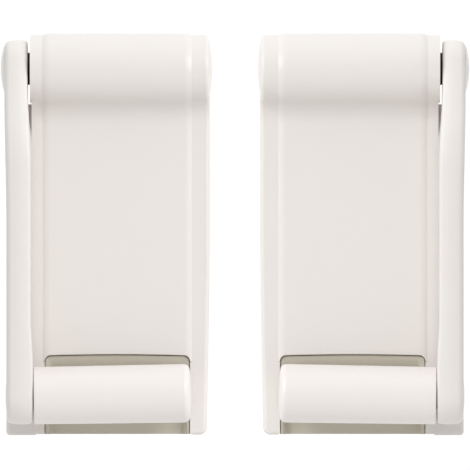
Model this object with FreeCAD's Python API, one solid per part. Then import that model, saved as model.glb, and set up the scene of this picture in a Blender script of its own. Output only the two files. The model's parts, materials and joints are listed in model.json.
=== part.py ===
"""A matched pair of flip-out window opening stops, one for each side of the window.

Millimetres. +X runs to the right, +Z up, and the front faces -Y. The mounting faces lie on y = 0 and the
origin is the middle of the four mounting holes. Every piece is built for the left unit, whose arm is on
its outer (-X) side, and the right unit is its mirror image.
"""
import FreeCAD, Part
import math
import os

V = FreeCAD.Vector

# ---- driving dimensions of one unit --------------------------------------------------------------
TOP_Z = 50.0              # crown of the barrel above the middle of the mounting holes
PLATE_BOTTOM_Z = -49.75   # lower edge of the plate
WING_BOTTOM_Z = -50.0     # lower edge of the wing behind the arm
STRIP_BOTTOM_Z = -49.9    # lower edge of the inner strip
INNER_X = -6.25           # edge of the plate that faces the other unit, at the barrel
INNER_MID = (-6.5, -22.0)  # the same edge draws in a little on its way down: x, z
INNER_LOW = (-7.0, -46.5)
INNER_CORNER = 1.8
PANEL_INNER_X = -10.8     # seam between the front cover and the inner strip
PANEL_OUTER_X = -47.8     # seam between the front cover and the outer strip
SIDE_X = -50.65           # outer side wall beside the arm's pivot end
WING_X = -56.97           # outer edge of the wing at its foot
WING_TOP_X = -56.6        # and at its upper end
WING_TOP_Z = 32.4
CHEEK_X = -51.0           # outer face of the barrel's outer cheek

BARREL_R = 8.8            # outside of the front cover where it wraps the barrel
CHEEK_R = 8.4             # cheeks and end cap, one step lower than the cover
PIVOT_Y = -9.0            # swing axis, clear of the mounting face by the barrel's radius
PIVOT_Z = TOP_Z - BARREL_R
PANEL_Y = -8.15           # front of the cover's flat panel
STRIP_Y = -7.75           # front of the two strips beside it
ROOT_FILLET = 6.2         # sweep from the barrel into the panel
COVER_WALL = 1.8
BACK_WALL = 2.0
SEAM = 0.03               # gap each side of the front cover

# finger recess
RECESS_TOP_Z = -30.2      # at the two ends of its slightly arched upper edge
RECESS_ARCH = 0.3
RECESS_SIDE = 0.4         # how far the recess stays inside the cover's sides
RECESS_CORNER = 1.5
RECESS_LOW_Z = RECESS_TOP_Z - RECESS_CORNER
TRAY_GAP = 0.15
TRAY_RIM_Y = -7.3
TRAY_FLOOR_Y = -3.4
TRAY_RIM = 0.5
TRAY_SLOPE = 8.0          # height over which the floor falls from the rim to its full depth

# arm
LEAN = math.radians(24.0)  # slope of the arm from its pivot to the bend
ARM_HALF = 7.15            # half of the arm's depth, and the radius of its ends
ARM_INNER_X = -51.6        # inner face round the pivot
ARM_SIDE_X = -50.78        # inner face below the bend, beside the plate
ARM_OUTER_X = -56.8
ARM_EYE_X = -57.35         # the outer face stands out a little round the pivot
GRIP_Y = -16.0
GRIP_Z = -40.1
ARM_BEND_R = 34.0          # front of the bend
ARM_EDGE_R = 0.9
ARM_EASE_Z = 38.0          # below this height both faces of the arm move over to their lower place
BOSS_TIP_X = -50.2         # tip of the boss round the axle, on the side of the grip

# grip
GRIP_OUTER_X = -50.0
GRIP_INNER_X = -10.85
GRIP_R_OUTER = 7.14
GRIP_R_INNER = 7.29
GRIP_WALL = 1.8
GRIP_RISE = 0.9            # degrees that the axle rises towards the grip's free end
AXLE_R = 2.0

# pivot
SHAFT_R = 3.0
BUSH_R = 4.0
RUN = 0.04                 # radial clearance of the running fits
SWING = 90.0               # degrees from parked to standing straight out

# mounting
HOLE_X = -29.3
HOLE_Z = 20.0
HOLE_R = 2.1
HOLE_HEAD_R = 4.2


# ---- shape helpers -------------------------------------------------------------------------------
def box(x0, x1, y0, y1, z0, z1):
    """A block between two corners."""
    return Part.makeBox(x1 - x0, y1 - y0, z1 - z0, V(x0, y0, z0))


def rod(x0, x1, radius, y=PIVOT_Y, z=PIVOT_Z):
    """A solid cylinder along X."""
    return Part.makeCylinder(radius, x1 - x0, V(x0, y, z), V(1, 0, 0))


def ring(x0, x1, outer, inner, y=PIVOT_Y, z=PIVOT_Z):
    """A tube along X."""
    return rod(x0, x1, outer, y, z).cut(rod(x0 - 1, x1 + 1, inner, y, z))


def extrude_x(edges, x0, x1):
    """Extrude a closed outline that is drawn in the YZ plane."""
    face = Part.Face(Part.Wire(Part.sortEdges(edges)[0]))
    face.translate(V(x0, 0, 0))
    return face.extrude(V(x1 - x0, 0, 0))


def extrude_y(edges, y0, y1):
    """Extrude a closed outline that is drawn in the XZ plane."""
    face = Part.Face(Part.Wire(Part.sortEdges(edges)[0]))
    face.translate(V(0, y0, 0))
    return face.extrude(V(0, y1 - y0, 0))


def path_xz(points):
    """Straight edges from one (x, z) point to the next."""
    places = [V(x, 0, z) for x, z in points]
    return [Part.LineSegment(a, b).toShape() for a, b in zip(places, places[1:])]


def eased_edge(x_high, x_low, z_high, z_low):
    """One smooth upright edge that passes from one x above z_high to another below z_low."""
    places = []
    for step in range(15):
        z = 56.0 - 8.0 * step
        part = min(max((z_high - z) / (z_high - z_low), 0.0), 1.0)
        part = part ** 2 * (3 - 2 * part)
        places.append(V(x_high + (x_low - x_high) * part, 0, z))
    curve = Part.BSplineCurve()
    curve.interpolate(places)
    return curve.toShape()


def line(a, b):
    """A straight edge between two (y, z) points."""
    return Part.LineSegment(V(0, *a), V(0, *b)).toShape()


def arc(a, mid, b):
    """A circular edge through three (y, z) points."""
    return Part.Arc(V(0, *a), V(0, *mid), V(0, *b)).toShape()


def polar(angle, radius, centre=(PIVOT_Y, PIVOT_Z)):
    """The (y, z) point at an angle in degrees from straight up, turning towards the front."""
    a = math.radians(angle)
    return (centre[0] - radius * math.sin(a), centre[1] + radius * math.cos(a))


def arc_about(centre, radius, start, end):
    """A circular edge about a centre, between two angles measured as in polar()."""
    middle = 0.5 * (start + end)
    return arc(polar(start, radius, centre), polar(middle, radius, centre), polar(end, radius, centre))


def dome(x_base, x_tip, radius, rise, rim, y=PIVOT_Y, z=PIVOT_Z):
    """A button along X: flat base, straight skirt, rounded rim and a shallow spherical crown."""
    toward = 1 if x_tip > x_base else -1
    ball_r = (radius ** 2 + rise ** 2) / (2 * rise)
    ball_x = x_tip - toward * ball_r
    rim_x = ball_x + toward * math.sqrt((ball_r - rim) ** 2 - (radius - rim) ** 2)
    reach = ball_r / (ball_r - rim)
    crown = (ball_x + (rim_x - ball_x) * reach, (radius - rim) * reach)
    lean = 0.5 * (math.pi / 2 + math.atan2(radius - rim, abs(rim_x - ball_x)))
    rim_mid = (rim_x + toward * rim * math.cos(lean), radius - rim + rim * math.sin(lean))
    half_way = 0.5 * math.asin(crown[1] / ball_r)
    crown_mid = (ball_x + toward * ball_r * math.cos(half_way), ball_r * math.sin(half_way))
    points = [V(x, 0, r) for x, r in ((x_tip, 0), (x_base, 0), (x_base, radius), (rim_x, radius))]
    edges = [Part.LineSegment(a, b).toShape() for a, b in zip(points, points[1:])]
    edges.append(Part.Arc(points[-1], V(rim_mid[0], 0, rim_mid[1]), V(crown[0], 0, crown[1])).toShape())
    edges.append(Part.Arc(V(crown[0], 0, crown[1]), V(crown_mid[0], 0, crown_mid[1]), points[0]).toShape())
    solid = Part.Face(Part.Wire(Part.sortEdges(edges)[0])).revolve(V(0, 0, 0), V(1, 0, 0), 360)
    solid.translate(V(0, y, z))
    return solid


def fuse(shapes):
    """One solid from several that touch or overlap."""
    return shapes[0].multiFuse(shapes[1:]).removeSplitter()


def round_edges(solid, radius, wanted):
    """Fillet the edges that a test picks out."""
    return solid.makeFillet(radius, [edge for edge in solid.Edges if wanted(edge)])


def sweep_centre(front_y, radius):
    """Centre of the fillet that joins a flat front to a barrel of a given radius, and its tangent angle."""
    reach = radius + ROOT_FILLET
    y = front_y - ROOT_FILLET
    z = PIVOT_Z - math.sqrt(reach ** 2 - (y - PIVOT_Y) ** 2)
    return (y, z), math.degrees(math.atan2(PIVOT_Y - y, z - PIVOT_Z))


# ---- fixed pieces --------------------------------------------------------------------------------
COVER_SPLIT = -30.0       # angle behind the crown where the front cover meets the cradle
CRADLE_END = -176.0       # the cradle stops here, under the barrel
CRADLE_INNER_R = BARREL_R - COVER_WALL
CRADLE_OUTER_R = 8.4


def side_wall(x0, x1, bottom):
    """A strip and its cheek: flat front, fillet, round the barrel and down the mounting face."""
    centre, angle = sweep_centre(STRIP_Y, CHEEK_R)
    back = (PIVOT_Y + CHEEK_R, PIVOT_Z)
    edges = [line((0, bottom), (STRIP_Y, bottom)),
             line((STRIP_Y, bottom), (STRIP_Y, centre[1])),
             arc_about(centre, ROOT_FILLET, angle - 180, -90),
             arc_about((PIVOT_Y, PIVOT_Z), CHEEK_R, angle, -90),
             line(back, (0, PIVOT_Z)),
             line((0, PIVOT_Z), (0, bottom))]
    return extrude_x(edges, x0, x1)


def inner_side():
    """The inner strip: its free edge draws in towards a rounded lower corner."""
    strip = side_wall(PANEL_INNER_X, INNER_X, STRIP_BOTTOM_Z)
    left, low, high = PANEL_INNER_X - 1, STRIP_BOTTOM_Z - 1, TOP_Z + 1
    foot_x = INNER_LOW[0] - 0.05
    edge = Part.Arc(V(INNER_X, 0, PIVOT_Z - BARREL_R), V(INNER_MID[0], 0, INNER_MID[1]),
                    V(INNER_LOW[0], 0, INNER_LOW[1])).toShape()
    rest = path_xz([INNER_LOW, (foot_x, low), (left, low), (left, high), (INNER_X, high),
                    (INNER_X, PIVOT_Z - BARREL_R)])
    strip = strip.common(extrude_y([edge] + rest, -30, 5))
    strip = round_edges(strip, INNER_CORNER, lambda e: at(e, z=STRIP_BOTTOM_Z) and e.BoundBox.XLength < 0.01
                        and e.BoundBox.XMin > PANEL_INNER_X + 1)
    return round_edges(strip, 1.0, lambda e: at(e, y=STRIP_Y) and e.BoundBox.XMin > PANEL_INNER_X + 1)


def wing():
    """The shelf behind the arm; its upper end falls back along the arm's slope."""
    clearance = 0.6
    fall = math.tan(LEAN)
    line_y = PIVOT_Y + (ARM_HALF + clearance) / math.cos(LEAN)
    top_y = line_y - (PIVOT_Z - WING_TOP_Z) * fall
    knee = (STRIP_Y, PIVOT_Z - (line_y - STRIP_Y) / fall)
    points = [(0, WING_BOTTOM_Z), (STRIP_Y, WING_BOTTOM_Z), knee, (top_y, WING_TOP_Z), (0, WING_TOP_Z)]
    edges = [line(a, b) for a, b in zip(points, points[1:] + points[:1])]
    solid = extrude_x(edges, WING_X - 1, SIDE_X + 1.0)
    inside = SIDE_X + 2
    taper = path_xz([(WING_X, WING_BOTTOM_Z), (WING_TOP_X, WING_TOP_Z), (inside, WING_TOP_Z),
                     (inside, WING_BOTTOM_Z), (WING_X, WING_BOTTOM_Z)])
    solid = solid.common(extrude_y(taper, -20, 5))
    solid = round_edges(solid, 8.0, lambda e: at(e, y=knee[0], z=knee[1]))
    return round_edges(solid, 1.0, lambda e: e.BoundBox.XMax < WING_TOP_X + 0.01 and (
        at(e, z=WING_BOTTOM_Z) or (at(e, y=STRIP_Y) and e.BoundBox.ZLength > 5)))


def at(edge, x=None, y=None, z=None, tol=1e-4):
    """True when both ends and the middle of an edge have the stated coordinates."""
    box_ = edge.BoundBox
    spans = ((x, box_.XMin, box_.XMax), (y, box_.YMin, box_.YMax), (z, box_.ZMin, box_.ZMax))
    return all(v is None or (abs(a - v) < tol and abs(b - v) < tol) for v, a, b in spans)


def housing():
    """Main moulding: strips, wing, cheeks, barrel cradle, back wall and screw bosses."""
    outer = side_wall(SIDE_X, PANEL_OUTER_X, PLATE_BOTTOM_Z)
    inner = inner_side().cut(rod(CAP_SEAT_X, INNER_X + 1, CHEEK_R))
    pads = [box(PANEL_OUTER_X, PANEL_OUTER_X + RECESS_SIDE, STRIP_Y, 0, PLATE_BOTTOM_Z, RECESS_LOW_Z - SEAM),
            box(PANEL_INNER_X - RECESS_SIDE, PANEL_INNER_X, STRIP_Y, 0, PLATE_BOTTOM_Z, RECESS_LOW_Z - SEAM)]
    cheek = rod(CHEEK_X, PANEL_OUTER_X, CHEEK_R)
    back = box(PANEL_OUTER_X, PANEL_INNER_X, -BACK_WALL, 0, PLATE_BOTTOM_Z, PIVOT_Z - 8.0)
    top, low = COVER_SPLIT - 1, CRADLE_END
    cradle_edges = [arc_about((PIVOT_Y, PIVOT_Z), CRADLE_OUTER_R, top, low),
                    arc_about((PIVOT_Y, PIVOT_Z), CRADLE_INNER_R, top, low),
                    line(polar(top, CRADLE_OUTER_R), polar(top, CRADLE_INNER_R)),
                    line(polar(low, CRADLE_OUTER_R), polar(low, CRADLE_INNER_R))]
    cradle = extrude_x(cradle_edges, PANEL_OUTER_X, PANEL_INNER_X)
    web = box(PANEL_OUTER_X, PANEL_INNER_X, -BACK_WALL, 0, PIVOT_Z - 8.2, PIVOT_Z)
    web = web.cut(rod(PANEL_OUTER_X - 1, PANEL_INNER_X + 1, CRADLE_OUTER_R - 0.3))
    ledge_y = PANEL_Y + COVER_WALL
    ledges = [box(PANEL_OUTER_X, PANEL_OUTER_X + 1.4, ledge_y, -BACK_WALL, RECESS_TOP_Z, 24.0),
              box(PANEL_INNER_X - 1.4, PANEL_INNER_X, ledge_y, -BACK_WALL, RECESS_TOP_Z, 24.0),
              box(PANEL_OUTER_X, PANEL_INNER_X, ledge_y, -BACK_WALL,
                  RECESS_TOP_Z + RECESS_ARCH, RECESS_TOP_Z + 2.0)]
    bosses = [Part.makeCylinder(5.4, 4.6, V(HOLE_X, 0, z), V(0, -1, 0)) for z in (-HOLE_Z, HOLE_Z)]
    body = fuse([outer, inner, cheek, back, cradle, web, wing()] + pads + ledges + bosses)
    for z in (-HOLE_Z, HOLE_Z):
        body = body.cut(Part.makeCylinder(HOLE_R, 12, V(HOLE_X, 1, z), V(0, -1, 0)))
        countersink = Part.makeCone(HOLE_R, HOLE_HEAD_R, HOLE_HEAD_R - HOLE_R, V(HOLE_X, -2.5, z), V(0, -1, 0))
        body = body.cut(countersink)
    body = body.cut(rod(CHEEK_X - 1, PANEL_OUTER_X + 1, BUSH_R))
    body = body.cut(rod(PANEL_INNER_X - 1, INNER_X + 1, BUSH_R))
    pin_y, pin_z = polar(STOP_PIN_ANGLE, STOP_PIN_REACH)
    body = body.cut(rod(STOP_PIN_X[0], STOP_PIN_X[1], STOP_PIN_R, pin_y, pin_z))
    body = body.cut(rod(ANCHOR_X[0], ANCHOR_X[1], ANCHOR_R + 0.02))
    return body.cut(bumper_socket())


def front_cover():
    """Removable skin: wraps the barrel, sweeps into the flat panel and ends above the recess."""
    centre, angle = sweep_centre(PANEL_Y, BARREL_R)
    inner_y = PANEL_Y + COVER_WALL
    low = RECESS_LOW_Z
    pivot = (PIVOT_Y, PIVOT_Z)
    edges = [arc_about(pivot, BARREL_R, COVER_SPLIT, angle),
             arc_about(centre, ROOT_FILLET, angle - 180, -90),
             line((PANEL_Y, centre[1]), (PANEL_Y, low)),
             line((PANEL_Y, low), (inner_y, low)),
             line((inner_y, low), (inner_y, centre[1])),
             arc_about(centre, ROOT_FILLET + COVER_WALL, angle - 180, -90),
             arc_about(pivot, BARREL_R - COVER_WALL, COVER_SPLIT, angle),
             line(polar(COVER_SPLIT, BARREL_R - COVER_WALL), polar(COVER_SPLIT, BARREL_R))]
    skin = extrude_x(edges, PANEL_OUTER_X + SEAM, PANEL_INNER_X - SEAM)
    return skin.cut(recess_form(0.0, -12, -4))


def recess_form(inset, y0, y1, bottom=PLATE_BOTTOM_Z - 5):
    """The recess as a solid: straight sides, two rounded corners and a slightly arched upper edge."""
    x0 = PANEL_OUTER_X + RECESS_SIDE + inset
    x1 = PANEL_INNER_X - RECESS_SIDE - inset
    top = RECESS_TOP_Z - inset
    arch = Part.Arc(V(x0, 0, top), V((x0 + x1) / 2, 0, top + RECESS_ARCH), V(x1, 0, top)).toShape()
    form = extrude_y([arch] + path_xz([(x1, top), (x1, bottom), (x0, bottom), (x0, top)]), y0, y1)
    return round_edges(form, RECESS_CORNER - inset,
                       lambda e: at(e, z=top) and e.BoundBox.XLength < 0.01)


def recess_tray():
    """Liner of the finger recess: a narrow rim, a floor that falls away from it and an open lower end."""
    block = recess_form(TRAY_GAP, TRAY_RIM_Y, -BACK_WALL, PLATE_BOTTOM_Z)
    fall = TRAY_FLOOR_Y - TRAY_RIM_Y
    radius = (fall ** 2 + TRAY_SLOPE ** 2) / (4 * fall)
    turn = math.degrees(math.asin(TRAY_SLOPE / 2 / radius))
    top = RECESS_TOP_Z - TRAY_GAP - TRAY_RIM
    upper = (TRAY_RIM_Y + radius, top)
    lower = (TRAY_FLOOR_Y - radius, top - TRAY_SLOPE)
    front, below = TRAY_RIM_Y - 5, PLATE_BOTTOM_Z - 5
    edges = [arc_about(upper, radius, 90, 90 + turn),
             arc_about(lower, radius, -90 + turn, -90),
             line((TRAY_FLOOR_Y, top - TRAY_SLOPE), (TRAY_FLOOR_Y, below)),
             line((TRAY_FLOOR_Y, below), (front, below)),
             line((front, below), (front, top)),
             line((front, top), (TRAY_RIM_Y, top))]
    x0 = PANEL_OUTER_X + RECESS_SIDE + TRAY_GAP + TRAY_RIM
    x1 = PANEL_INNER_X - RECESS_SIDE - TRAY_GAP - TRAY_RIM
    return block.cut(extrude_x(edges, x0, x1))


CAP_SEAT_X = -8.1         # the end cap closes the barrel from here to its domed end
CAP_TIP_X = -5.7


def barrel_end_cap():
    """Domed end of the barrel, with a spigot in the inner cheek."""
    head = dome(CAP_SEAT_X, CAP_TIP_X, CHEEK_R, 1.1, 0.5)
    return fuse([head, rod(CAP_SEAT_X - 0.7, CAP_SEAT_X, BUSH_R)])


def outer_bushing():
    """Plain bearing in the outer cheek."""
    return ring(CHEEK_X, PANEL_OUTER_X + 1.0, BUSH_R, SHAFT_R + RUN)


def inner_bushing():
    """Plain bearing in the inner cheek."""
    return ring(PANEL_INNER_X - 1.0, CAP_SEAT_X - 0.8, BUSH_R, SHAFT_R + RUN)


ANCHOR_X = (-16.0, -12.4)
ANCHOR_R = 6.9
LUG_REACH = (5.3, 6.5)     # radii between which the driving lugs stand


def lug(x0, x1, angle):
    """A block beside a spring leg, between two radii, 24 degrees wide."""
    wedge_edges = [arc_about((PIVOT_Y, PIVOT_Z), LUG_REACH[1], angle, angle + 24),
                   arc_about((PIVOT_Y, PIVOT_Z), LUG_REACH[0], angle, angle + 24),
                   line(polar(angle, LUG_REACH[0]), polar(angle, LUG_REACH[1])),
                   line(polar(angle + 24, LUG_REACH[0]), polar(angle + 24, LUG_REACH[1]))]
    return extrude_x(wedge_edges, x0, x1)


def spring_anchor():
    """Ring keyed in the cradle that holds the spring's fixed leg."""
    body = ring(ANCHOR_X[0], ANCHOR_X[1], ANCHOR_R, SHAFT_R + 0.5)
    return fuse([body, lug(ANCHOR_X[0] - 2.2, ANCHOR_X[0], FIXED_LEG_ANGLE + 9)])


STOP_PIN_ANGLE = -135.0
STOP_PIN_REACH = 5.4
STOP_PIN_R = 0.8
STOP_PIN_X = (-49.8, -44.2)


def stop_pin():
    """Steel pin in the outer cheek that ends the swing both ways."""
    y, z = polar(STOP_PIN_ANGLE, STOP_PIN_REACH)
    return rod(STOP_PIN_X[0], STOP_PIN_X[1], STOP_PIN_R, y, z)


BUMPER_Z = -22.0
BUMPER_X = (ARM_OUTER_X + ARM_INNER_X) / 2


def bumper_socket():
    """Blind hole for the bumper's stem in the wing."""
    return Part.makeCylinder(1.6, 3.0, V(BUMPER_X, STRIP_Y - 0.01, BUMPER_Z), V(0, 1, 0))


def park_bumper():
    """Rubber button on the wing that the parked arm lies against."""
    stem = Part.makeCylinder(1.6, 2.9, V(BUMPER_X, STRIP_Y, BUMPER_Z), V(0, 1, 0))
    head = Part.makeCylinder(2.3, 0.85, V(BUMPER_X, STRIP_Y, BUMPER_Z), V(0, -1, 0))
    head = round_edges(head, 0.3, lambda e: at(e, y=STRIP_Y - 0.85))
    return fuse([stem, head])


# ---- return spring -------------------------------------------------------------------------------
WIRE_R = 0.6
COIL_R = 4.6
COIL_PITCH = 2.2
COIL_TURNS = 9.75
COIL_X0 = -40.6
FREE_LEG_ANGLE = 90.0
FIXED_LEG_ANGLE = FREE_LEG_ANGLE + 360.0 * COIL_TURNS


def torsion_spring():
    """Coil round the shaft with a radial leg at each end."""
    length = COIL_PITCH * COIL_TURNS
    helix = Part.makeHelix(COIL_PITCH, length, COIL_R)
    section = Part.Wire(Part.Circle(V(COIL_R, 0, 0), V(0, 1, 0), WIRE_R).toShape())
    coil = Part.Wire(helix.Edges).makePipeShell([section], True, True)
    legs = []
    for turns, height in ((0.0, 0.0), (COIL_TURNS, length)):
        a = 2 * math.pi * turns
        out = V(math.cos(a), math.sin(a), 0)
        start = V(0, 0, height) + out * COIL_R
        legs.append(Part.makeCylinder(WIRE_R, 1.9, start, out))
        legs.append(Part.makeSphere(WIRE_R, start))
    solid = fuse([coil] + legs)
    # local z becomes +X, local x the front (-Y) and local y the direction that polar() turns to, -Z
    place = FreeCAD.Matrix(0, 0, 1, COIL_X0, -1, 0, 0, PIVOT_Y, 0, -1, 0, PIVOT_Z, 0, 0, 0, 1)
    return solid.transformed(place, copy=True)


# ---- pieces that swing with the arm --------------------------------------------------------------
DRIVE_END_X = -54.4
DRIVE_FLAT = 2.2
SCREW_SEAT_X = -55.45


def drive_form(x0, x1, grow=0.0):
    """The shaft's two-flat driving end."""
    y0, y1 = PIVOT_Y - DRIVE_FLAT - grow, PIVOT_Y + DRIVE_FLAT + grow
    flats = box(x0, x1, y0, y1, PIVOT_Z - 4, PIVOT_Z + 4)
    return rod(x0, x1, SHAFT_R + grow).common(flats)


def pivot_shaft():
    """Steel shaft through the barrel, flattened where it drives the arm."""
    body = fuse([rod(ARM_INNER_X, CAP_SEAT_X - 1.0, SHAFT_R), drive_form(DRIVE_END_X, ARM_INNER_X)])
    return body.cut(rod(DRIVE_END_X - 1, DRIVE_END_X + 9.0, 1.3))


def spring_hub():
    """Disc on the shaft that carries the spring's moving leg."""
    x0, x1 = -43.6, -41.4
    disc = ring(x0, x1, 6.4, SHAFT_R + 0.01)
    return fuse([disc, lug(x1, x1 + 2.0, FREE_LEG_ANGLE - 9 - 24)])


def stop_collar():
    """Disc on the shaft with a notch that the stop pin runs in."""
    margin = math.degrees(math.asin(STOP_PIN_R / STOP_PIN_REACH)) + 0.6
    start = STOP_PIN_ANGLE - margin
    end = STOP_PIN_ANGLE + SWING + margin
    pivot = (PIVOT_Y, PIVOT_Z)
    notch_edges = [arc_about(pivot, 7.4, start, end), arc_about(pivot, 4.3, start, end),
                   line(polar(start, 4.3), polar(start, 7.4)), line(polar(end, 4.3), polar(end, 7.4))]
    x0, x1 = PANEL_OUTER_X + 1.1, -44.0
    disc = ring(x0, x1, 6.5, SHAFT_R + 0.01)
    return disc.cut(extrude_x(notch_edges, x0 - 1, x1 + 1))


def arm_side_outline(half):
    """Closed outline of the arm seen from the side, as edges."""
    bend_z = PIVOT_Z - (PIVOT_Y - GRIP_Y) / math.tan(LEAN)
    lean_deg = math.degrees(LEAN)
    front_corner = (GRIP_Y - half, bend_z - half * math.tan(LEAN / 2))
    back_corner = (GRIP_Y + half, bend_z + half * math.tan(LEAN / 2))
    front_run = ARM_BEND_R * math.tan(LEAN / 2)
    back_r = 20.0
    back_run = back_r * math.tan(LEAN / 2)
    up = (math.sin(LEAN), math.cos(LEAN))
    pivot = (PIVOT_Y, PIVOT_Z)
    grip = (GRIP_Y, GRIP_Z)
    front_tangent = polar(90 - lean_deg, half, pivot)
    back_tangent = polar(270 - lean_deg, half, pivot)
    front_low = (front_corner[0], front_corner[1] - front_run)
    front_high = (front_corner[0] + front_run * up[0], front_corner[1] + front_run * up[1])
    back_low = (back_corner[0], back_corner[1] - back_run)
    back_high = (back_corner[0] + back_run * up[0], back_corner[1] + back_run * up[1])
    bend_centre = (front_corner[0] + ARM_BEND_R, front_low[1])
    inside_centre = (back_corner[0] + back_r, back_low[1])
    return [arc_about(pivot, half, 90 - lean_deg, -90 - lean_deg),
            line(front_tangent, front_high),
            arc_about(bend_centre, ARM_BEND_R, 90 - lean_deg, 90),
            line(front_low, (GRIP_Y - half, GRIP_Z)),
            arc_about(grip, half, 90, 270),
            line((GRIP_Y + half, GRIP_Z), back_low),
            arc_about(inside_centre, back_r, 90, 90 - lean_deg),
            line(back_high, back_tangent)]


def arm():
    """Cranked lever: flat against the wing when parked, with eyes for the shaft and the axle."""
    bar = extrude_x(arm_side_outline(ARM_HALF), ARM_EYE_X - 1, ARM_SIDE_X + 1)
    sides = [eased_edge(ARM_EYE_X, ARM_OUTER_X, ARM_EASE_Z, 2.0),
             eased_edge(ARM_INNER_X, ARM_SIDE_X, ARM_EASE_Z, 17.0)]
    for outer, inner in zip(sides[0].Vertexes, sides[1].Vertexes):
        sides.append(Part.LineSegment(outer.Point, inner.Point).toShape())
    bar = bar.common(extrude_y(sides, -40, 10))
    bar = round_edges(bar, ARM_EDGE_R,
                      lambda e: e.BoundBox.XMin > ARM_INNER_X - 0.05 or e.BoundBox.XMax < ARM_OUTER_X + 0.3)
    boss = dome(ARM_SIDE_X - 0.5, BOSS_TIP_X, ARM_HALF - ARM_EDGE_R - 0.2, 0.4, 0.3, GRIP_Y, GRIP_Z)
    bar = fuse([bar, boss])
    bar = bar.cut(drive_form(DRIVE_END_X, ARM_INNER_X + 1, 0.02))
    bar = bar.cut(rod(SCREW_SEAT_X - 1, DRIVE_END_X + 1, 1.6))
    bar = bar.cut(rod(ARM_EYE_X - 1, SCREW_SEAT_X, CAP_SPIGOT_R))
    bar = bar.cut(tilted(rod(AXLE_HEAD_X[1] - 1, -49, AXLE_R, GRIP_Y, GRIP_Z)))
    return bar.cut(tilted(rod(ARM_OUTER_X - 1.5, AXLE_HEAD_X[1], AXLE_HEAD_R + 0.1, GRIP_Y, GRIP_Z)))


def tilted(shape):
    """Raise a piece of the grip towards its free end by the axle's angle."""
    out = shape.copy()
    out.rotate(V(GRIP_OUTER_X, GRIP_Y, GRIP_Z), V(0, 1, 0), -GRIP_RISE)
    return out


def spacer_washer():
    """Washer that keeps the arm off the cheek."""
    return ring(ARM_INNER_X + 0.02, CHEEK_X - 0.05, BUSH_R, SHAFT_R + 0.01)


def arm_screw():
    """Screw that holds the arm on the shaft."""
    head = rod(SCREW_SEAT_X - 1.35, SCREW_SEAT_X, 2.75)
    head = round_edges(head, 0.6, lambda e: at(e, x=SCREW_SEAT_X - 1.35))
    x0, x1 = SCREW_SEAT_X - 2, SCREW_SEAT_X - 0.75
    for half_y, half_z in ((0.3, 1.6), (1.6, 0.3)):
        head = head.cut(box(x0, x1, PIVOT_Y - half_y, PIVOT_Y + half_y, PIVOT_Z - half_z, PIVOT_Z + half_z))
    return fuse([head, rod(SCREW_SEAT_X, DRIVE_END_X + 8.0, 1.25)])


CAP_R = 5.7
CAP_SPIGOT_R = 4.4
CAP_RISE = 0.95


def pivot_cap():
    """Domed cap over the arm's screw."""
    lens = dome(ARM_EYE_X - 0.01, ARM_EYE_X - CAP_RISE, CAP_R, CAP_RISE - 0.15, 0.12)
    spigot = ring(ARM_EYE_X - 0.01, ARM_EYE_X + 0.45, CAP_SPIGOT_R - 0.02, 3.4)
    return fuse([lens, spigot])


AXLE_CAP_R = 3.6
AXLE_HEAD_R = 3.0
AXLE_HEAD_X = (-56.5, -55.5)
AXLE_END_X = -15.0
CLIP_X = (-16.4, -15.8)


def grip_axle():
    """Headed pin through the arm; the grip turns on it."""
    body = fuse([rod(AXLE_HEAD_X[0], AXLE_HEAD_X[1], AXLE_HEAD_R, GRIP_Y, GRIP_Z),
                 rod(AXLE_HEAD_X[1], AXLE_END_X, AXLE_R, GRIP_Y, GRIP_Z)])
    groove = ring(CLIP_X[0] - 0.03, CLIP_X[1] + 0.03, AXLE_R + 1, AXLE_R - 0.4, GRIP_Y, GRIP_Z)
    return tilted(body.cut(groove))


def axle_cap():
    """Low cap over the axle's head, in the arm's outer face."""
    lens = dome(ARM_OUTER_X, ARM_OUTER_X - 0.25, AXLE_CAP_R, 0.17, 0.06, GRIP_Y, GRIP_Z)
    spigot = rod(ARM_OUTER_X, ARM_OUTER_X + 0.15, AXLE_HEAD_R - 0.1, GRIP_Y, GRIP_Z)
    return fuse([lens, spigot])


def grip_washer():
    """Thin bronze washer between the arm's boss and the grip."""
    return tilted(ring(GRIP_OUTER_X - 0.14, GRIP_OUTER_X - 0.03, 3.4, AXLE_R + 0.02, GRIP_Y, GRIP_Z))


def axle_clip():
    """Open retaining ring in the axle's groove, inside the grip."""
    body = ring(CLIP_X[0], CLIP_X[1], 3.4, AXLE_R - 0.38, GRIP_Y, GRIP_Z)
    mouth = box(CLIP_X[0] - 1, CLIP_X[1] + 1, GRIP_Y - 1.2, GRIP_Y + 1.2, GRIP_Z - 5, GRIP_Z)
    return tilted(body.cut(mouth))


# ---- pieces that turn on the axle ----------------------------------------------------------------
GRIP_END_X = -13.2        # the sleeve stops here and the rounded end cap begins
GRIP_BORE_R = GRIP_R_OUTER - GRIP_WALL


def grip_r(x):
    """Outside radius of the grip, which swells slightly towards its free end."""
    return GRIP_R_OUTER + (GRIP_R_INNER - GRIP_R_OUTER) * (x - GRIP_OUTER_X) / (GRIP_INNER_X - GRIP_OUTER_X)


def grip_sleeve():
    """Tapered tube of the grip."""
    length = GRIP_END_X - GRIP_OUTER_X
    start = V(GRIP_OUTER_X, GRIP_Y, GRIP_Z)
    body = Part.makeCone(GRIP_R_OUTER, grip_r(GRIP_END_X), length, start, V(1, 0, 0))
    body = round_edges(body, 0.3, lambda e: at(e, x=GRIP_OUTER_X))
    return tilted(body.cut(rod(GRIP_OUTER_X - 1, GRIP_END_X + 1, GRIP_BORE_R, GRIP_Y, GRIP_Z)))


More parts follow.
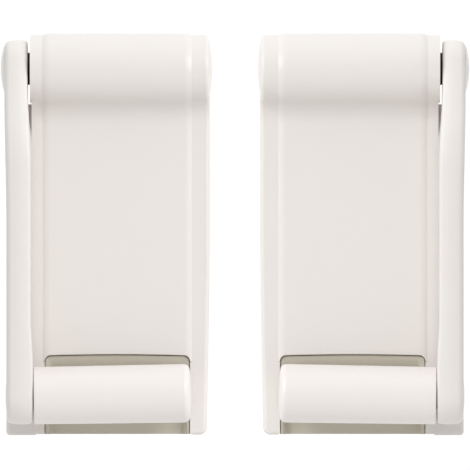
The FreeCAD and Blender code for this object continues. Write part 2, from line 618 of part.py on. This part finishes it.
def grip_bushings():
    """Two plain bearings pressed in the sleeve."""
    first = ring(GRIP_OUTER_X + 0.02, GRIP_OUTER_X + 5.0, GRIP_BORE_R, AXLE_R + RUN, GRIP_Y, GRIP_Z)
    second = ring(CLIP_X[0] - 5.1, CLIP_X[0] - 0.1, GRIP_BORE_R, AXLE_R + RUN, GRIP_Y, GRIP_Z)
    return Part.makeCompound([tilted(first), tilted(second)])


def grip_end_cap():
    """Rounded end of the grip, with a spigot in the sleeve."""
    radius = grip_r(GRIP_END_X)
    head = dome(GRIP_END_X, GRIP_INNER_X, radius, 0.5, 1.6, GRIP_Y, GRIP_Z)
    spigot = ring(GRIP_END_X - 1.8, GRIP_END_X, GRIP_BORE_R, GRIP_BORE_R - 1.2, GRIP_Y, GRIP_Z)
    return tilted(fuse([head, spigot]))


# ---- output --------------------------------------------------------------------------------------
PIECES = [housing, front_cover, recess_tray, barrel_end_cap, outer_bushing, inner_bushing, spring_anchor,
          stop_pin, park_bumper, torsion_spring, pivot_shaft, spring_hub, stop_collar, arm, spacer_washer,
          arm_screw, pivot_cap, grip_axle, axle_cap, grip_washer, axle_clip, grip_sleeve, grip_bushings,
          grip_end_cap]


def main():
    """Build each piece once and write it for both hands."""
    os.makedirs("parts", exist_ok=True)
    for make in PIECES:
        piece = make()
        mirrored = piece.mirror(V(0, 0, 0), V(1, 0, 0))
        for hand, shape in (("left", piece), ("right", mirrored)):
            shape.exportStep("parts/%s_%s.step" % (hand, make.__name__))
        size = piece.BoundBox
        print("%-16s solids %d valid %s volume %8.1f  x %.2f %.2f  y %.2f %.2f  z %.2f %.2f" % (
            make.__name__, len(piece.Solids), piece.isValid(), piece.Volume,
            size.XMin, size.XMax, size.YMin, size.YMax, size.ZMin, size.ZMax))


main()
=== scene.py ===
"""Looks of a matched pair of window opening stops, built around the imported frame.

Metres, +X to the right, +Z up, and the front faces -Y. Shapes are worked out for the left unit, whose arm is
on its -X side, and the right unit is the same shape mirrored in the plane x = 0.
"""
import json
import math

import bmesh
import bpy
import numpy as np
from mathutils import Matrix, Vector


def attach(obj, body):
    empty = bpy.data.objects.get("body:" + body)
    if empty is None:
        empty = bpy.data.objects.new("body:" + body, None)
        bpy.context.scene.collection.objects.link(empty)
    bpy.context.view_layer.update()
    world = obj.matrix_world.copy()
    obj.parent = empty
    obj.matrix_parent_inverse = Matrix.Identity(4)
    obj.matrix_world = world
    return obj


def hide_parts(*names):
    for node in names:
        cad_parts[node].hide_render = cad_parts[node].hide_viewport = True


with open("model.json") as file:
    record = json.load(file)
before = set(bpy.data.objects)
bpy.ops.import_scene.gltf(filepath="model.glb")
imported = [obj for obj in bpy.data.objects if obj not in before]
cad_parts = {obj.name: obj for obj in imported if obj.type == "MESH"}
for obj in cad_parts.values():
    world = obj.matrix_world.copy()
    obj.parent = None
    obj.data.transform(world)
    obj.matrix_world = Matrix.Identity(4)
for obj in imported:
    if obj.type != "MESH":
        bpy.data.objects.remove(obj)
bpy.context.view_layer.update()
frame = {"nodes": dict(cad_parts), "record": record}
HANDS = (("left", 1.0), ("right", -1.0))
NEW_PIECES = {"left": [], "right": []}
SLOT_OF = {entry["node"]: entry["material_slot"] for entry in frame["record"]["subparts"]}

# sockets of a Mix node that blends colours
MIX_COLOUR_A = 6
MIX_COLOUR_B = 7
MIX_COLOUR_RESULT = 2


# ---- shader values ------------------------------------------------------------------------------
class Value:
    """An output of a material's nodes. Arithmetic on it adds Math nodes to the same tree."""

    def __init__(self, tree, socket=None):
        self.tree = tree
        self.socket = socket

    def node(self, kind, settings=None, inputs=None, out=0):
        """Add a node: its settings first, then its sockets' values or links."""
        node = self.tree.nodes.new(kind)
        for name, setting in (settings or {}).items():
            setattr(node, name, setting)
        for name, given in (inputs or {}).items():
            if isinstance(given, Value):
                self.tree.links.new(given.socket, node.inputs[name])
            else:
                node.inputs[name].default_value = given
        return Value(self.tree, node.outputs[out])

    def math(self, operation, first, second):
        """A Math node on two values or numbers."""
        return self.node("ShaderNodeMath", {"operation": operation}, {0: first, 1: second})

    def __add__(self, other):
        return self.math("ADD", self, other)

    __radd__ = __add__

    def __sub__(self, other):
        return self.math("SUBTRACT", self, other)

    def __rsub__(self, other):
        return self.math("SUBTRACT", other, self)

    def __mul__(self, other):
        return self.math("MULTIPLY", self, other)

    __rmul__ = __mul__


def place(tree, scale=(1, 1, 1)):
    """The piece's own coordinates, in metres, stretched by a scale."""
    start = Value(tree)
    coords = start.node("ShaderNodeTexCoord", out="Object")
    return start.node("ShaderNodeMapping", {}, {"Vector": coords, "Scale": scale})


def speckle(where, per_metre, detail):
    """Noise from 0 to 1 with features a set number of times a metre."""
    return where.node("ShaderNodeTexNoise", {"noise_dimensions": "3D"},
                      {"Vector": where, "Scale": per_metre, "Detail": detail, "Roughness": 0.5})


def finish_of(name, make, **constants):
    """A material whose Principled shader takes constants, and whatever make() links to it."""
    material = bpy.data.materials.new(name)
    material.use_nodes = True
    tree = material.node_tree
    shader = next(n for n in tree.nodes if n.type == "BSDF_PRINCIPLED")
    for socket, number in constants.items():
        shader.inputs[socket.replace("_", " ")].default_value = number
    for socket, link in make(tree).items():
        tree.links.new(link.socket, shader.inputs[socket.replace("_", " ")])
    return material


def tinted(where, mask, dark, light):
    """Blend two colours by a mask from 0 to 1."""
    ends = {"Factor": mask, MIX_COLOUR_A: dark + (1.0,), MIX_COLOUR_B: light + (1.0,)}
    return where.node("ShaderNodeMix", {"data_type": "RGBA"}, ends, out=MIX_COLOUR_RESULT)


def bump(where, height, strength, distance):
    """Surface normal from a height in units of distance."""
    return where.node("ShaderNodeBump", {}, {"Height": height, "Strength": strength, "Distance": distance})


def moulded(tone, spread, rough, grain):
    """Moulded plastic: faint flow clouds in the colour, a fine even grain, and gloss that varies a little."""
    def make(tree):
        where = place(tree)
        clouds = speckle(where, CLOUDS_PER_M, 2.0)
        fine = speckle(where, GRAIN_PER_M, 2.0)
        wave = speckle(where, WAVES_PER_M, 1.0)
        dark = tuple(c * (1.0 - spread) for c in tone)
        middle = (CLOUD_GLOSS + GRAIN_GLOSS) / 2
        return {"Base_Color": tinted(where, clouds, dark, tone),
                "Roughness": clouds * CLOUD_GLOSS + fine * GRAIN_GLOSS + (rough - middle),
                "Normal": bump(where, fine * 0.6 + wave * 0.4, grain, MOULD_RELIEF)}
    return make


def drawn_metal(tone, rough, along):
    """Metal with fine lines: the scale is small along the lines and large across them."""
    def make(tree):
        where = place(tree, along)
        lines = speckle(where, 1.0, 3.0)
        dark = tuple(c * LINE_SHADE for c in tone)
        return {"Base_Color": tinted(where, lines, dark, tone),
                "Roughness": lines * LINE_GLOSS + (rough - LINE_GLOSS / 2),
                "Normal": bump(where, lines, 0.25, LINE_RELIEF)}
    return make


# features a metre, how much they vary the roughness, and how deep they are in metres
CLOUDS_PER_M = 90.0
WAVES_PER_M = 420.0
GRAIN_PER_M = 5200.0
CLOUD_GLOSS = 0.05
GRAIN_GLOSS = 0.04
MOULD_RELIEF = 0.00002
LINE_SHADE = 0.82
LINE_GLOSS = 0.16
LINE_RELIEF = 0.00001
ACROSS = (60.0, 3000.0, 3000.0)      # lines that run along X
ROUND = (4000.0, 90.0, 90.0)         # turning marks on a shaft along X

WHITE = (0.800, 0.766, 0.738)
GRIP_WHITE = (0.845, 0.808, 0.785)
OLIVE = (0.585, 0.55, 0.462)
ACETAL = (0.78, 0.76, 0.70)
RUBBER = (0.30, 0.29, 0.27)
# near-black brown of the spacer washer is painted shade: it copies the shadow in the narrow gap between the
# arm and the barrel's end
WASHER_PAINTED_SHADE = (0.06, 0.045, 0.03)
FLOOR = (0.92, 0.912, 0.90)
SHEEN = 0.45                         # specular level of the white plastics
FINISHES = {
    "white_plastic": finish_of("white_plastic", moulded(WHITE, 0.012, 0.34, 0.10),
                               Specular_IOR_Level=SHEEN),
    "grip_plastic": finish_of("grip_plastic", moulded(GRIP_WHITE, 0.010, 0.32, 0.08),
                              Specular_IOR_Level=SHEEN),
    "olive_plastic": finish_of("olive_plastic", moulded(OLIVE, 0.05, 0.50, 0.25)),
    "natural_acetal": finish_of("natural_acetal", moulded(ACETAL, 0.03, 0.42, 0.15)),
    "grey_rubber": finish_of("grey_rubber", moulded(RUBBER, 0.12, 0.75, 0.5)),
    # the dark_washer finish paints the pivot gap's shade onto the washer as a near-black brown
    "dark_washer": finish_of("dark_washer", moulded(WASHER_PAINTED_SHADE, 0.15, 0.6, 0.3)),
    "shaft_steel": finish_of("shaft_steel", drawn_metal((0.62, 0.62, 0.63), 0.30, ROUND), Metallic=1.0),
    "spring_wire": finish_of("spring_wire", drawn_metal((0.42, 0.42, 0.44), 0.34, ACROSS), Metallic=1.0),
    "bronze": finish_of("bronze", drawn_metal((0.50, 0.33, 0.18), 0.38, ROUND), Metallic=1.0),
}


# ---- light, floor and camera --------------------------------------------------------------------
FRONT_GLOW = 0.26        # surround seen by surfaces that face the camera
BACK_GLOW = 1.04         # surround behind the pair
SIDE_GLOW = 0.72
UPPER_GLOW = 1.18
KEY_POWER = 11.4
KEY_AT = (0.80, -1.10, 0.60)     # for the left unit; the right unit's is mirrored
KEY_SIZE = 0.9
FLOOR_Z = -0.16
FLOOR_SIZE = 4.0
CAMERA_FAR = 5.2
CAMERA_Z = -0.00017
SENSOR_WIDTH = 36.0
VIEW_WIDTH = 0.11693     # what the frame takes in, at the middle of the pair's depth
MIDDLE_Y = -0.012


def surround():
    """White surround whose strength is a sum of squares of the direction: behind, in front, sides, up."""
    world = bpy.data.worlds.new("surround")
    bpy.context.scene.world = world
    world.use_nodes = True
    tree = world.node_tree
    back = next(n for n in tree.nodes if n.type == "BACKGROUND")
    start = Value(tree)
    toward = start.node("ShaderNodeTexCoord", out="Generated")
    side, depth, height = (start.node("ShaderNodeSeparateXYZ", {}, {"Vector": toward}, out=i)
                           for i in range(3))
    glow = side * side * SIDE_GLOW
    for part, operation, strength in ((depth, "MAXIMUM", BACK_GLOW), (depth, "MINIMUM", FRONT_GLOW),
                                      (height, "MAXIMUM", UPPER_GLOW)):
        half = part.math(operation, part, 0.0)
        glow = glow + half * half * strength
    tree.links.new(glow.socket, back.inputs["Strength"])
    back.inputs["Color"].default_value = (1.0, 1.0, 1.0, 1.0)


def softbox(name, place_at, size, power, shines_on):
    """A square soft light aimed at the middle of the pair, which lights only one collection's objects."""
    data = bpy.data.lights.new(name, "AREA")
    data.shape = "SQUARE"
    data.size = size
    data.energy = power
    lamp = bpy.data.objects.new(name, data)
    bpy.context.scene.collection.objects.link(lamp)
    lamp.location = place_at
    lamp.rotation_euler = (-Vector(place_at)).to_track_quat("-Z", "Y").to_euler()
    lamp.light_linking.receiver_collection = shines_on
    lamp.visible_camera = False


def studio():
    """Surround, one key light for each unit from the middle, above and in front, and the floor."""
    surround()
    for hand, side in HANDS:
        group = bpy.data.collections.new(f"{hand}_unit")
        for name, item in frame["nodes"].items():
            if name.startswith(hand):
                group.objects.link(item)
        for item in NEW_PIECES[hand]:
            group.objects.link(item)
        softbox(f"{hand}_key", (side * KEY_AT[0], KEY_AT[1], KEY_AT[2]), KEY_SIZE, KEY_POWER, group)

    bpy.ops.mesh.primitive_plane_add(size=FLOOR_SIZE, location=(0.0, 0.0, FLOOR_Z))
    floor = bpy.context.object
    floor.name = "floor"
    floor.data.materials.append(finish_of("floor_paint", moulded(FLOOR, 0.01, 0.8, 0.1)))


def camera():
    """Long lens straight in front, level with the middle of the pair."""
    data = bpy.data.cameras.new("front_camera")
    data.sensor_width = SENSOR_WIDTH
    data.lens = SENSOR_WIDTH * CAMERA_FAR / VIEW_WIDTH
    data.clip_end = 4.0 * CAMERA_FAR
    view = bpy.data.objects.new("front_camera", data)
    bpy.context.scene.collection.objects.link(view)
    view.location = (0.0, MIDDLE_Y - CAMERA_FAR, CAMERA_Z)
    view.rotation_euler = (math.radians(90.0), 0.0, 0.0)
    bpy.context.scene.camera = view


def dress_nodes():
    """Give every CAD node the finish of its slot."""
    for name, item in frame["nodes"].items():
        item.data.materials.clear()
        item.data.materials.append(FINISHES[SLOT_OF[name]])


# ---- driving sizes, in millimetres, as in the frame ----------------------------------------------
PIVOT = (-9.0, 41.2)          # y, z of the swing axis
GRIP = (-16.0, -40.1)         # y, z of the grip's axis at its outer end
GRIP_OUTER_X = -50.0
GRIP_RISE = math.radians(0.9)
PANEL_X = (-47.8, -10.8)      # sides of the front cover
PANEL_Y = -8.15
BARREL_R = 8.8
ROOT_FILLET = 6.2
COVER_WALL = 1.8
COVER_SPLIT = -30.0           # degrees behind the barrel's crown where the cover begins
COVER_SHOULDER = 1.9          # width over which its sides sink, and how far
COVER_DROP = 0.36
COVER_EDGE_R = 0.25
COVER_FLAT = 2.6              # distance from each side where the evenly spaced columns begin
WRAP_STEPS = 96               # rows round the barrel, through the root fillet and down the panel
SWEEP_STEPS = 30
PANEL_STEPS = 89
RECESS_TOP_Z = -30.2
RECESS_ARCH = 0.3
RECESS_SIDE = 0.4
RECESS_CORNER = 1.5
TRAY_GAP = 0.15
TRAY_RIM_Y = -7.3
TRAY_FLOOR_Y = -3.4
TRAY_BACK_Y = -2.0
TRAY_RIM = 0.5
TRAY_SLOPE = 8.0              # height over which the floor falls, and the width it takes at each side
TRAY_SIDE_SLOPE = 1.3
TRAY_EDGE_R = 0.18
TRAY_LIP = 0.4                # level band under the rounded upper edge
PLATE_BOTTOM_Z = -49.75
ARM_HALF = 7.15               # half of the arm's depth, and the radius of its ends
LEAN = 24.0
ARM_FRONT_BEND_R = 34.0
ARM_BACK_BEND_R = 20.0
ARM_EYE_X = (-57.35, -51.6)   # outer and inner face at the pivot
ARM_SHIFT = (0.55, 0.82)      # how far each face moves inward below ARM_EASE_Z, and over what height
ARM_SHIFT_RUN = (36.0, 21.0)
ARM_EASE_Z = 38.0
ARM_OUTER_EDGE_R = 1.6
ARM_INNER_EDGE_R = 0.8
ARM_CROWN = 0.16
BOSS_RISE = 0.60              # the inner face's step towards the grip, where it starts and its height
BOSS_TOP_Z = -20.0
BOSS_RUN = 14.0
GRIP_END_X = -13.2            # joint between the grip's tube and its tip
GRIP_BORE_R = 5.34
GRIP_OUTER_R = 7.14
GRIP_END_R = 7.281
GRIP_EDGE_R = 0.3
# domed buttons: x of the base and of the tip, radius, rise of the crown, radius of the rim
BARREL_DOME = (-8.1, -5.7, 8.4, 1.05, 0.75)
PIVOT_BUTTON = (-57.33, -58.3, 5.7, 0.82, 0.12)
AXLE_BUTTON = (-56.78, -57.05, 3.6, 0.18, 0.07)
GRIP_TIP = (GRIP_END_X, -10.85, GRIP_END_R, 0.5, 1.55)


# ---- arithmetic on whole arrays ------------------------------------------------------------------
def ease(t):
    """t held between 0 and 1, then 3 t^2 - 2 t^3: a step with soft ends."""
    t = np.clip(t, 0.0, 1.0)
    return t * t * (3.0 - 2.0 * t)


def quarter(count):
    """Sines and cosines of evenly spaced angles from 0 to 90 degrees."""
    turn = np.linspace(0.0, math.pi / 2, count)
    return np.sin(turn), np.cos(turn)


def on_circle(centre, radius, start, end, count):
    """Points (y, z) = centre + radius (-sin a, cos a), a in degrees from straight up towards the front."""
    a = np.radians(np.linspace(start, end, count))
    return np.stack([centre[0] - radius * np.sin(a), centre[1] + radius * np.cos(a)], -1)


def straight(start, end, count):
    """Evenly spaced points from start to end: start + t (end - start)."""
    t = np.linspace(0.0, 1.0, count)[:, None]
    return np.asarray(start) + t * (np.asarray(end) - np.asarray(start))


def joined(runs):
    """Runs of points end to end, each one's first point dropped where it repeats the last."""
    return np.concatenate([runs[0]] + [run[1:] for run in runs[1:]])


def loop_normals(loop):
    """Unit outward normals of a closed (y, z) loop: its central difference turned a quarter turn."""
    step = np.roll(loop, -1, 0) - np.roll(loop, 1, 0)
    normal = np.stack([step[:, 1], -step[:, 0]], -1)
    normal /= np.linalg.norm(normal, axis=1, keepdims=True)
    outward = np.sum(normal * (loop - loop.mean(0)))
    return normal if outward > 0 else -normal


# ---- grids to meshes -----------------------------------------------------------------------------
TURN_STEPS = 128
SHARP_ANGLE = math.radians(32.0)
WELD = 2e-6                   # metres within which neighbouring grids' points are one
MM = 0.001


def faces_of(rows, columns, first, close):
    """Four-cornered faces between neighbouring points of a grid; close joins the last column to the first."""
    index = first + np.arange(rows * columns).reshape(rows, columns)
    if close:
        index = np.concatenate([index, index[:, :1]], 1)
    return np.stack([index[:-1, :-1], index[1:, :-1], index[1:, 1:], index[:-1, 1:]], -1).reshape(-1, 4)


def piece(name, grids, hand, body, slot, stands_for):
    """One closed mesh from grids of (x, y, z) points in millimetres that meet along their borders."""
    side = dict(HANDS)[hand]
    points, faces, first = [], [], 0
    for grid, close in grids:
        rows, columns = grid.shape[:2]
        points.append(grid.reshape(-1, 3))
        faces.append(faces_of(rows, columns, first, close))
        first += rows * columns
    places = np.concatenate(points) * np.array([side, 1.0, 1.0]) * MM
    mesh = bpy.data.meshes.new(f"{hand}_{name}")
    mesh.from_pydata(places.tolist(), [], np.concatenate(faces).tolist())
    shell = bmesh.new()
    shell.from_mesh(mesh)
    bmesh.ops.remove_doubles(shell, verts=shell.verts, dist=WELD)
    bmesh.ops.dissolve_degenerate(shell, edges=shell.edges, dist=WELD / 20)
    bmesh.ops.recalc_face_normals(shell, faces=shell.faces)
    shell.to_mesh(mesh)
    shell.free()
    mesh.polygons.foreach_set("use_smooth", np.ones(len(mesh.polygons), dtype=bool))
    mesh.set_sharp_from_angle(angle=SHARP_ANGLE)
    item = bpy.data.objects.new(f"{hand}_{name}", mesh)
    bpy.context.scene.collection.objects.link(item)
    item.data.materials.append(FINISHES[slot])
    NEW_PIECES[hand].append(item)
    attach(item, body if body == "root" else f"{hand}_{body}")
    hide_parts(f"{hand}_{stands_for}")


def turned(profile, centre, rise):
    """A profile of (x, r) points turned about an axis along X: (x, y0 - r sin a, z0 + r cos a), then tipped
    up by rise about the grip's outer end."""
    a = np.linspace(0.0, 2 * math.pi, TURN_STEPS, endpoint=False)[None, :]
    x, r = profile[:, :1], profile[:, 1:]
    up = r * np.cos(a)
    along = x + 0.0 * a - GRIP_OUTER_X
    grid = [GRIP_OUTER_X + along * math.cos(rise) - up * math.sin(rise),
            centre[0] - r * np.sin(a),
            centre[1] + up * math.cos(rise) + along * math.sin(rise)]
    return np.stack(grid, -1)


def button(x_base, x_tip, radius, rise, rim):
    """Profile (x, r) of a domed button: axis, flat base, skirt, rim arc, crown x = tip - rise (r/R)^2."""
    toward = 1.0 if x_tip > x_base else -1.0
    flat = radius - rim
    s, c = quarter(9)
    r_crown = np.linspace(flat, 0.0, 26)
    drop = rise * (r_crown / radius) ** 2
    crown = np.stack([x_tip - toward * drop, r_crown], -1)
    foot = x_tip - toward * (drop[0] + rim)
    edge = np.stack([foot + toward * rim * s, flat + rim * c], -1)
    base = straight((x_base, 0.0), (x_base, radius), 8)
    return joined([base, straight((x_base, radius), (foot, radius), 4), edge, crown])


# ---- the arm --------------------------------------------------------------------------------------
def arm_sides():
    """Front and back outlines of the arm from its top tip to its bottom tip, point beside point: a quarter
    round about the pivot, a leaning run, the bend, an upright run and a quarter round about the grip."""
    lean = math.radians(LEAN)
    bend_z = PIVOT[1] - (PIVOT[0] - GRIP[0]) / math.tan(lean)
    counts = (26, 44, 26, 46, 26)
    halves = []
    for side, bend_r in ((-1.0, ARM_FRONT_BEND_R), (1.0, ARM_BACK_BEND_R)):
        corner = (GRIP[0] + side * ARM_HALF, bend_z + side * ARM_HALF * math.tan(lean / 2))
        run = bend_r * math.tan(lean / 2)
        low = (corner[0], corner[1] - run)
        high = (corner[0] + run * math.sin(lean), corner[1] + run * math.cos(lean))
        first = on_circle(PIVOT, ARM_HALF, -LEAN, -LEAN - side * 90.0, counts[0])
        bend = on_circle((low[0] + bend_r, low[1]), bend_r, 90.0 - LEAN, 90.0, counts[2])
        last = on_circle(GRIP, ARM_HALF, 180.0 + side * 90.0, 180.0, counts[4])
        leaning = straight(first[-1], high, counts[1])
        upright = straight(low, last[0], counts[3])
        halves.append(joined([first, leaning, bend, upright, last]))
    return halves


def arm_faces_x(z):
    """Outer and inner face of the arm: soft steps in z between the pivot end and the rest, and on the inner
    face a further soft step of BOSS_RISE that meets the end of the grip."""
    outer, inner = (eye + shift * ease((ARM_EASE_Z - z) / run)
                    for eye, shift, run in zip(ARM_EYE_X, ARM_SHIFT, ARM_SHIFT_RUN))
    return outer, inner + BOSS_RISE * ease((BOSS_TOP_Z - z) / BOSS_RUN)


def arm():
    """Lever bar: its closed outline is drawn in by an inset that follows the section across X, which has an
    arc at both edges and a slight crown between them; each face spans the two inset outlines."""
    front, back = arm_sides()
    loop = np.concatenate([front, back[-2:0:-1]])
    s, c = quarter(9)
    t = np.linspace(-1.0, 1.0, 13)[1:-1]
    none, all_of = np.zeros(len(s)), np.ones(len(s))
    share = np.concatenate([none, 0.5 + 0.5 * t, all_of])[:, None]
    start = np.concatenate([ARM_OUTER_EDGE_R * (1 - c), np.full(len(t), ARM_OUTER_EDGE_R), none])
    end = np.concatenate([none, np.full(len(t), ARM_INNER_EDGE_R), ARM_INNER_EDGE_R * (1 - c[::-1])])
    inset = np.concatenate([ARM_CROWN + ARM_OUTER_EDGE_R * (1 - s), ARM_CROWN * t * t,
                            ARM_CROWN + ARM_INNER_EDGE_R * (1 - s[::-1])])
    rings = loop - loop_normals(loop) * inset[:, None, None]
    outer, inner = arm_faces_x(rings[..., 1])
    x = (outer + start[:, None]) * (1 - share) + (inner - end[:, None]) * share
    band = np.concatenate([x[..., None], rings], -1)
    half = len(front)
    spread = np.linspace(0.0, 1.0, 41)[None, :, None]
    grids = [(band, True)]
    for ring, face in ((rings[0], 0), (rings[-1], 1)):
        far = np.concatenate([ring[:1], ring[:half - 2:-1]])
        across = ring[:half, None] + spread * (far - ring[:half])[:, None]
        x = arm_faces_x(across[..., 1])[face]
        grids.append((np.concatenate([x[..., None], across], -1), False))
    return grids


# ---- the front cover and the recess ---------------------------------------------------------------
def recess_edge_z(x, inset):
    """Upper edge of the recess over x: an arch, and a quarter round down at each side."""
    left = PANEL_X[0] + RECESS_SIDE + inset
    right = PANEL_X[1] - RECESS_SIDE - inset
    middle, half = (left + right) / 2, (right - left) / 2
    corner = RECESS_CORNER - inset
    share = np.clip((x - middle) / half, -1.0, 1.0)
    over = np.clip(np.abs(x - middle) - (half - corner), 0.0, corner)
    fall = corner - np.sqrt(np.maximum(corner ** 2 - over ** 2, 0.0))
    return RECESS_TOP_Z - inset + RECESS_ARCH * (1 - share ** 2) - fall


def closed_strip(x, rows):
    """A skin from rows of (y, z) loops that share one loop of x, and at both ends a face that spans the
    loop's two halves, the second one turned back beside the first."""
    skin = np.concatenate([np.broadcast_to(x[:, None], rows.shape[:2] + (1,)), rows], -1)
    half = len(x) // 2
    ends = [np.stack([loop[:half], loop[:half - 1:-1]]) for loop in (skin[0], skin[-1])]
    return [(skin, True), (ends[0], False), (ends[1], False)]


def front_cover():
    """Skin carried down a path in the YZ plane: round the barrel, through the root fillet and straight down
    to the recess. Its section across X is a flat strip that sinks by COVER_DROP (1 - t)^2 at both sides."""
    reach = BARREL_R + ROOT_FILLET
    centre_y = PANEL_Y - ROOT_FILLET
    centre_z = PIVOT[1] - math.sqrt(reach ** 2 - (centre_y - PIVOT[0]) ** 2)
    meet = math.degrees(math.atan2(PIVOT[0] - centre_y, centre_z - PIVOT[1]))
    path = joined([on_circle(PIVOT, BARREL_R, COVER_SPLIT, meet, WRAP_STEPS),
                   on_circle((centre_y, centre_z), ROOT_FILLET, meet - 180.0, -90.0, SWEEP_STEPS)])
    a = np.radians(joined([np.linspace(COVER_SPLIT, meet, WRAP_STEPS), np.linspace(meet, 90.0, SWEEP_STEPS)]))
    normal = np.stack([-np.sin(a), np.cos(a)], -1)
    left, right = PANEL_X
    shoulder = np.linspace(0.0, COVER_SHOULDER, 9)
    sides = RECESS_SIDE + RECESS_CORNER * (1 - np.cos(np.linspace(0.0, math.pi / 2, 14)))
    middle = np.linspace(left + COVER_FLAT, right - COVER_FLAT, 70)
    x = np.sort(np.concatenate([left + shoulder, left + sides, middle, right - sides, right - shoulder]))
    aside = np.minimum(x - left, right - x) / COVER_SHOULDER
    depth = COVER_DROP * np.clip(1.0 - aside, 0.0, 1.0) ** 2
    loop_x = np.concatenate([x, x[::-1]])
    loop_d = np.concatenate([depth, np.full(len(x), COVER_WALL)])
    outer_half = np.concatenate([np.ones(len(x)), np.zeros(len(x))])
    low = np.where((loop_x > left + RECESS_SIDE) & (loop_x < right - RECESS_SIDE),
                   recess_edge_z(loop_x, 0.0), RECESS_TOP_Z - RECESS_CORNER)
    wrapped = path[:, None] - normal[:, None] * loop_d[:, None]
    s, c = quarter(7)
    run = np.concatenate([np.linspace(0.0, 1.0, PANEL_STEPS + 1)[1:], np.ones(len(s) - 1)])[:, None]
    drop = np.concatenate([np.zeros(PANEL_STEPS), COVER_EDGE_R * s[1:]])[:, None]
    back = np.concatenate([np.zeros(PANEL_STEPS), COVER_EDGE_R * (1 - c[1:])])[:, None]
    z_start = path[-1][1]
    z = z_start + (low + COVER_EDGE_R - z_start) * run - drop
    hanging = np.stack([PANEL_Y + loop_d + back * outer_half, z], -1)
    return closed_strip(loop_x, np.concatenate([wrapped, hanging]))


def recess_tray():
    """Liner: its front is a height over x and z. From a narrow rim it falls to the floor by the product of a
    soft step down from the top and one in from each side."""
    left = PANEL_X[0] + RECESS_SIDE + TRAY_GAP
    right = PANEL_X[1] - RECESS_SIDE - TRAY_GAP
    centre, half = (left + right) / 2, (right - left) / 2
    share = np.sin(np.linspace(-math.pi / 2, math.pi / 2, 121))
    x = centre + half * share
    top = recess_edge_z(x, TRAY_GAP)
    s, c = quarter(7)
    drop = np.concatenate([TRAY_EDGE_R * (1 - c), TRAY_EDGE_R + TRAY_LIP * np.array([0.5, 1.0])])[:, None]
    down = np.linspace(0.0, 1.0, 70)[1:, None]
    lip_z = top - TRAY_EDGE_R - TRAY_LIP
    z = np.concatenate([top - drop, lip_z + (PLATE_BOTTOM_Z - lip_z) * down])
    dip = np.zeros((len(z), 1))
    dip[:len(s), 0] = TRAY_EDGE_R * (1 - s)
    inward = half - np.abs(x - centre)
    fall = ease((top - z - TRAY_RIM) / TRAY_SLOPE) * ease((inward - TRAY_RIM) / TRAY_SIDE_SLOPE)
    short = np.clip(TRAY_EDGE_R - inward, 0.0, TRAY_EDGE_R)
    edge = TRAY_EDGE_R - np.sqrt(TRAY_EDGE_R ** 2 - short ** 2)
    y = TRAY_RIM_Y + np.maximum(dip, edge) + (TRAY_FLOOR_Y - TRAY_RIM_Y) * fall
    front = np.stack([y, z], -1)
    back = np.stack([np.full_like(z, TRAY_BACK_Y), z], -1)[:, ::-1]
    return closed_strip(np.concatenate([x, x[::-1]]), np.concatenate([front, back], 1))


# ---- the grip -------------------------------------------------------------------------------------
def grip_sleeve():
    """Closed profile (x, r) of a tapered tube: its outside radius grows evenly with x, the rim beside the
    arm carries an arc, and the bore is straight."""
    inside = (GRIP_OUTER_X, GRIP_BORE_R)
    far_inside = (GRIP_END_X, GRIP_BORE_R)
    far_outside = (GRIP_END_X, GRIP_END_R)
    s, c = quarter(8)
    rim = np.stack([GRIP_OUTER_X + GRIP_EDGE_R * (1 - s[::-1]),
                    GRIP_OUTER_R - GRIP_EDGE_R * (1 - c[::-1])], -1)
    rim_end = (GRIP_OUTER_X + GRIP_EDGE_R, GRIP_OUTER_R)
    return joined([straight(inside, rim[0], 5), rim, straight(rim_end, far_outside, 40),
                   straight(far_outside, far_inside, 4), straight(far_inside, inside, 20)])


def round_pieces():
    """Pieces turned about an axis: name, profile, axis, its tip, body, slot and the node it stands for."""
    white, pale = "white_plastic", "grip_plastic"
    return (("barrel_dome", button(*BARREL_DOME), PIVOT, 0.0, "root", white, "barrel_end_cap"),
            ("pivot_button", button(*PIVOT_BUTTON), PIVOT, 0.0, "arm", white, "pivot_cap"),
            ("axle_button", button(*AXLE_BUTTON), GRIP, 0.0, "arm", white, "axle_cap"),
            ("grip_tube", grip_sleeve(), GRIP, GRIP_RISE, "grip", pale, "grip_sleeve"),
            ("grip_tip", button(*GRIP_TIP), GRIP, GRIP_RISE, "grip", pale, "grip_end_cap"))


def build():
    """Every new piece of both units."""
    for hand, _ in HANDS:
        piece("arm_bar", arm(), hand, "arm", "white_plastic", "arm")
        piece("cover_skin", front_cover(), hand, "root", "white_plastic", "front_cover")
        piece("recess_liner", recess_tray(), hand, "root", "olive_plastic", "recess_tray")
        for name, profile, axis, rise, body, slot, stands_for in round_pieces():
            piece(name, [(turned(profile, axis, rise), True)], hand, body, slot, stands_for)


bpy.context.scene.view_settings.view_transform = "Standard"
dress_nodes()
build()
studio()
camera()
